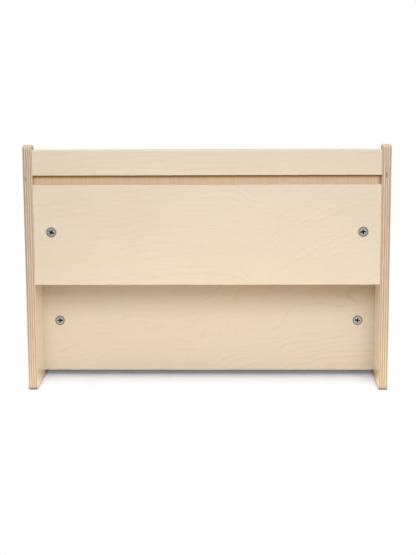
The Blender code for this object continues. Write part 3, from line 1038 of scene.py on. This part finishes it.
def cross_post(tree, given, face):
    """The stub in the middle of the cross, sunk into its floor."""
    sunk = 0.0004
    flare = 0.0002
    post = put(
        tree, "GeometryNodeMeshCone", "Post",
        {
            "Vertices": 20, "Radius Top": given["Post radius"],
            "Radius Bottom": given["Post radius"] + flare,
            "Depth": given["Recess depth"] - given["Post drop"] + sunk,
        },
    )[0]
    return shift(post, z=face - given["Recess depth"] - sunk)


def cam_tree(sizes):
    """A cam with its face up: body, sloping rim, cross recess, ball chamber and neck slot."""
    tree, given, made = fitting_group("Cam fitting", sizes)
    low = -given["Body depth"]
    edge = given["Rim foot"] + given["Rim edge"]
    face = edge + given["Rim rise"]
    blank = turned(tree, cam_profile(given, low, edge, face), given["Sides"])
    cut = joined("DIFFERENCE", blank, *cross_cuts(tree, given, face), *ball_cuts(tree, given, low))
    whole = joined("UNION", cut, cross_post(tree, given, face))
    place = split(put(tree, "GeometryNodeInputPosition", "Position")[0])
    out = off_axis(place)
    flat = given["Face diameter"] * 0.5
    # The rim mark carries the painted shade of the sloping rim.
    whole = marked(whole, "rim", ease(out, flat - 0.00005, flat + 0.0002))
    # The pit mark carries the painted shade inside the cross recess.
    pit = ease(out, flat, flat - 0.0005) * ease(face - place["Z"], 0.0002, 0.0008)
    plant(given, made, marked(whole, "pit", pit))
    return tree


def bolt_profile(given, meet):
    """The bolt's outline: its ball up to where the neck meets it, then neck, shank and core."""
    chamfer = 0.0003
    point = 0.0012
    steps = 10
    ball, neck, shank, core = (given[f"{part} radius"] for part in ("Ball", "Neck", "Shank", "Core"))
    neck_end, seat, tip = (given[name] for name in ("Neck length", "Seat", "Tip"))
    turns = [step / steps * (math.pi - meet) for step in range(1, steps + 1)]
    return [
        (ball * 0.06, ball * -0.998),
        *((ball * math.sin(turn), ball * -math.cos(turn)) for turn in turns),
        (neck, neck_end),
        (shank, neck_end + (shank - neck)),
        (shank, seat - chamfer),
        (shank - chamfer, seat),
        (core, seat + MERGE),
        (core, tip - point),
        (core * 0.35, tip),
    ]


def bolt_thread(tree, given):
    """A spiral tooth round the bolt's core."""
    from_seat = 0.0009
    from_tip = 0.0011
    start = given["Seat"] + from_seat
    tall = given["Tip"] - from_tip - start
    deep = given["Thread radius"] - given["Core radius"]
    middle = given["Core radius"] + deep * 0.2
    spiral = put(
        tree, "GeometryNodeCurveSpiral", "Spiral",
        {
            "Resolution": 28, "Rotations": tall / given["Pitch"], "Start Radius": middle,
            "End Radius": middle, "Height": tall,
        },
    )[0]
    upright = put(tree, "GeometryNodeSetCurveNormal", "Upright", {"Curve": spiral}, mode="Z_UP")[0]
    return shift(swept("Thread", upright, circle(tree, "Tooth", 6, deep * 0.8)), z=start)


def bolt_tree(sizes):
    """A ball-headed bolt along +Z from its ball's middle, with a thread cut for wood."""
    tree, given, made = fitting_group("Cam bolt", sizes)
    meet = math.asin(sizes["Neck radius"] / sizes["Ball radius"])
    blank = turned(tree, bolt_profile(given, meet), given["Sides"])
    plant(given, made, joined("UNION", blank, bolt_thread(tree, given)))
    return tree


def dowel_tree(sizes):
    """A fluted dowel along +Z, chamfered at both ends."""
    tree, given, made = fitting_group("Dowel", sizes)
    radius = given["Radius"]
    chamfer = given["Chamfer"]
    low = -given["In board"]
    high = given["In side"]
    narrow = radius - chamfer
    knee = radius - chamfer * 0.4
    profile = [
        (narrow, low),
        (knee, low + chamfer * 0.5),
        (radius, low + chamfer),
        (radius, high - chamfer),
        (knee, high - chamfer * 0.5),
        (narrow, high),
    ]
    blank = turned(tree, profile, given["Flutes"] * 6.0)
    place = split(put(tree, "GeometryNodeInputPosition", "Position")[0])
    wave = calc("COSINE", calc("ARCTAN2", place["Y"], place["X"]) * given["Flutes"])
    ribbed = ease(off_axis(place), radius - chamfer * 0.7, radius)
    hollow = ease(wave, -0.6, 0.9, 1.0, 0.0) * ribbed
    inward = -(hollow * given["Flute depth"] / radius)
    offset = combine(tree, place["X"] * inward, place["Y"] * inward)
    inputs = {"Geometry": blank, "Offset": offset}
    plant(given, made, put(tree, "GeometryNodeSetPosition", "Flutes", inputs)[0])
    return tree


def cam_spots():
    """Each cam's node, the middle of its foot on the board's surface, and its turn."""
    found = []
    for board in CAM_BOARDS:
        board_low, board_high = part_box(board)
        level = board.endswith("shelf")
        way = Vector((0, 0, -1)) if level else Vector((0, 1, 0))
        for label, sign in SIDES:
            node = f"{board}_cam_{label}"
            low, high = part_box(node)
            place = (low + high) / 2
            if level:
                place.z = board_low.z
            else:
                place.y = board_high.y
            turn = axes_turn((-sign, 0, 0), way) @ Matrix.Rotation(LOCK_TURNS.get(node, 0.0), 3, "Z")
            found.append((node, place, turn))
    return found


def pin_reach(node):
    """How far from the shelf's middle a bolt or a dowel starts and ends."""
    low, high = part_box(node)
    return sorted((abs(low.x), abs(high.x)))


def pin_spot(node, reach):
    """A place on the axis of a bolt or a dowel, this far from the shelf's middle, and its turn."""
    low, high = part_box(node)
    place = (low + high) / 2
    sign = 1 if place.x > 0 else -1
    place.x = sign * reach
    return place, axes_turn((0, 1, 0), (sign, 0, 0))


class BOOKSHELF_OT_sides(Operator):
    """Make the two side boards"""

    bl_idname = "bookshelf.make_sides"
    bl_label = "Make sides"

    def execute(self, context):
        for node in SIDE_NODES:
            make_board(node)
        return {"FINISHED"}


class BOOKSHELF_OT_panels(Operator):
    """Make the two back panels"""

    bl_idname = "bookshelf.make_panels"
    bl_label = "Make back panels"

    def execute(self, context):
        for tier in TIERS:
            make_board(f"{tier}_back_panel")
        return {"FINISHED"}


class BOOKSHELF_OT_shelves(Operator):
    """Make the two shelves and the front lip"""

    bl_idname = "bookshelf.make_shelves"
    bl_label = "Make shelves and lip"

    def execute(self, context):
        for tier in TIERS:
            make_board(f"{tier}_shelf")
        make_board("front_lip")
        return {"FINISHED"}


class BOOKSHELF_OT_cams(Operator):
    """Make the cam fittings"""

    bl_idname = "bookshelf.make_cams"
    bl_label = "Make cams"

    def execute(self, context):
        spots = cam_spots()
        sizes = settings_values(context.scene.bookshelf_cam)
        grow(
            "cams", [(place, turn) for _, place, turn in spots], cam_tree(sizes), sizes,
            zinc_material(), "zinc", [node for node, _, _ in spots],
        )
        return {"FINISHED"}


class BOOKSHELF_OT_bolts(Operator):
    """Make the ball-headed bolts that the cams draw tight"""

    bl_idname = "bookshelf.make_bolts"
    bl_label = "Make bolts"

    def execute(self, context):
        settings = context.scene.bookshelf_bolt
        sizes = settings_values(settings)
        nodes = [f"{board}_bolt_{label}" for board in CAM_BOARDS for label, _ in SIDES]
        inner, outer = pin_reach(nodes[0])
        ball = inner + settings.ball_radius
        sizes["Seat"] = PANEL_HIGH.x - ball
        sizes["Tip"] = outer - ball
        spots = [pin_spot(node, pin_reach(node)[0] + settings.ball_radius) for node in nodes]
        grow("cam_bolts", spots, bolt_tree(sizes), sizes, steel_material(), "steel", nodes)
        return {"FINISHED"}


class BOOKSHELF_OT_dowels(Operator):
    """Make the fluted dowels"""

    bl_idname = "bookshelf.make_dowels"
    bl_label = "Make dowels"

    def execute(self, context):
        sizes = settings_values(context.scene.bookshelf_dowel)
        nodes = sorted(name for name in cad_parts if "_dowel_" in name)
        inner, outer = pin_reach(nodes[0])
        sizes["In board"] = SIDE_LOW.x - inner
        sizes["In side"] = outer - SIDE_LOW.x
        spots = [pin_spot(node, SIDE_LOW.x) for node in nodes]
        grow("dowels", spots, dowel_tree(sizes), sizes, beech_material(), "beech", nodes)
        return {"FINISHED"}


def seen_share(tree):
    """One for rays straight from the camera and nought for all others."""
    return put(tree, "ShaderNodeLightPath", "Light path")["Is Camera Ray"]


def floor_material(settings):
    """White floor that keeps the shelf's shadow and fades to plain white further out."""
    material, tree, _, coordinates = new_material("white_floor")
    tree.nodes.remove(tree.nodes["Principled BSDF"])
    seen = seen_share(tree)
    where = coordinates["Object"]
    away = span(where)
    given_back = weakened(settings.floor, ease(away, *FLOOR_DIMS, 1.0, settings.floor_far))
    tone = blend(seen, given_back, rgba(settings.floor_seen))
    matt = put(tree, "ShaderNodeBsdfDiffuse", "Matt", {"Color": tone})[0]
    glow = put(tree, "ShaderNodeEmission", "Glow", {"Color": weakened(settings.floor_glow, seen)})[0]
    near = put(tree, "ShaderNodeAddShader", "Near", {0: matt, 1: glow})[0]
    plain = put(tree, "ShaderNodeEmission", "Plain white", {"Strength": 1.0})[0]
    beside = calc("ABSOLUTE", split(where)["X"]) - CAD_BOX[1][0]
    clear = calc("MAXIMUM", ease(away, *FLOOR_CLEARS), ease(beside, *FLOOR_CLEARS_BESIDE))
    ground = put(tree, "ShaderNodeMixShader", "Ground", {0: clear * seen, 1: near, 2: plain})[0]
    feed(tree.nodes["Material Output"].inputs["Surface"], ground)
    return material


def set_floor(settings):
    bm = bmesh.new()
    bmesh.ops.create_circle(bm, cap_ends=True, radius=settings.floor_radius, segments=96)
    mesh = bpy.data.meshes.new("floor")
    bm.to_mesh(mesh)
    bm.free()
    mesh.materials.append(floor_material(settings))
    floor = bpy.data.objects.new("floor", mesh)
    bpy.context.scene.collection.objects.link(floor)


def set_sky(settings):
    """Even light, stronger on the shelf's front and sides, and plain white to the camera."""
    world = bpy.data.worlds.new("studio")
    world.use_nodes = True
    bpy.context.scene.world = world
    tree = world.node_tree
    seen = seen_share(tree)
    way = split(put(tree, "ShaderNodeTexCoord", "Direction")["Generated"])
    even = spread(way["Z"], 0.0, 0.8, settings.low_sky, settings.high_sky)
    front = ease(way["Y"], 0.1, -0.6, 0.0, settings.front_sky)
    aside = ease(calc("ABSOLUTE", way["X"]), 0.8, 0.95, 0.0, settings.side_sky)
    strength = even + front + aside * ease(way["Y"], 0.1, -0.2)
    feed_all(tree.nodes["Background"].inputs, {
        "Color": blend(seen, rgba(settings.sky), WHITE),
        "Strength": spread(seen, 0.0, 1.0, strength, 1.0),
    })


def soft_light(name, power, tint, place, turn, width, height=None):
    """A light that the camera doesn't see: a disk or, with a height, a rectangle."""
    lamp = bpy.data.lights.new(name, "AREA")
    lamp.energy = power
    lamp.color = tint
    lamp.shape = "RECTANGLE" if height else "DISK"
    lamp.size = width
    if height:
        lamp.size_y = height
    light = bpy.data.objects.new(name, lamp)
    light.location = place
    light.rotation_euler = turn.to_euler()
    light.visible_camera = False
    bpy.context.scene.collection.objects.link(light)


def set_lights(settings):
    """Two round lights beside the camera, one overhead, and a card on the floor."""
    distance = settings.key_distance
    width = 2.0 * distance * math.tan(settings.key_breadth / 2)
    power = settings.key_power * math.pi * distance ** 2
    for label, sign in SIDES:
        swing = sign * settings.key_swing + settings.key_shift
        turn = Euler((math.pi / 2 - settings.key_rise, 0.0, math.pi + swing)).to_matrix()
        place = Vector(SHELF_MIDDLE) + turn @ Vector((0.0, 0.0, distance))
        soft_light(f"key_{label}", power, settings.key, place, turn, width)
    for name, power, tint, place, target, width, height in (
        ("top", settings.top_power, settings.key, (0.0, 0.3, 2.4), SHELF_MIDDLE, 2.2, 2.2),
        ("card", settings.card_power, settings.fill, (0.0, 0.38, 0.004), (0.0, 0.38, 1.0), 1.2, 0.66),
    ):
        turn = (Vector(target) - Vector(place)).to_track_quat("-Z", "Y")
        soft_light(name, power, tint, place, turn, width, height)


def set_camera(settings):
    lens = bpy.data.cameras.new("camera")
    lens.lens = settings.lens
    camera = bpy.data.objects.new("camera", lens)
    camera.matrix_world = (
        Matrix.Translation(settings.camera_place)
        @ Matrix.Rotation(settings.heading, 4, "Z")
        @ Matrix.Rotation(settings.tilt, 4, "X")
        @ Matrix.Rotation(settings.roll, 4, "Z")
    )
    bpy.context.scene.collection.objects.link(camera)
    bpy.context.scene.camera = camera


class BOOKSHELF_OT_stage(Operator):
    """Set the floor, the light and the camera"""

    bl_idname = "bookshelf.set_stage"
    bl_label = "Set stage"

    def execute(self, context):
        settings = context.scene.bookshelf_stage
        context.scene.view_settings.view_transform = "Standard"
        set_floor(settings)
        set_sky(settings)
        set_lights(settings)
        set_camera(settings)
        return {"FINISHED"}


STEPS = (
    BOOKSHELF_OT_sides, BOOKSHELF_OT_panels, BOOKSHELF_OT_shelves, BOOKSHELF_OT_cams,
    BOOKSHELF_OT_bolts, BOOKSHELF_OT_dowels, BOOKSHELF_OT_stage,
)


class BOOKSHELF_PT_sidebar(Panel):
    """Lists the shelf's pieces and their sizes and colours"""

    bl_idname = "BOOKSHELF_PT_sidebar"
    bl_label = "Bookshelf"
    bl_space_type = "VIEW_3D"
    bl_region_type = "UI"
    bl_category = "Bookshelf"

    def draw(self, context):
        for step in STEPS:
            self.layout.operator(step.bl_idname)
        for key, group in SETTINGS.items():
            box = self.layout.box()
            box.label(text=group.__doc__)
            settings = getattr(context.scene, key)
            for name in group.__annotations__:
                box.prop(settings, name)


CLASSES = (*SETTINGS.values(), *STEPS, BOOKSHELF_PT_sidebar)


def register():
    for item in CLASSES:
        bpy.utils.register_class(item)
    for key, group in SETTINGS.items():
        setattr(bpy.types.Scene, key, PointerProperty(type=group))


def unregister():
    for key in SETTINGS:
        delattr(bpy.types.Scene, key)
    for item in reversed(CLASSES):
        bpy.utils.unregister_class(item)


def main():
    register()
    bpy.ops.bookshelf.make_sides()
    bpy.ops.bookshelf.make_panels()
    bpy.ops.bookshelf.make_shelves()
    bpy.ops.bookshelf.make_cams()
    bpy.ops.bookshelf.make_bolts()
    bpy.ops.bookshelf.make_dowels()
    bpy.ops.bookshelf.set_stage()
    bpy.context.view_layer.update()


if __name__ == "__main__":
    main()
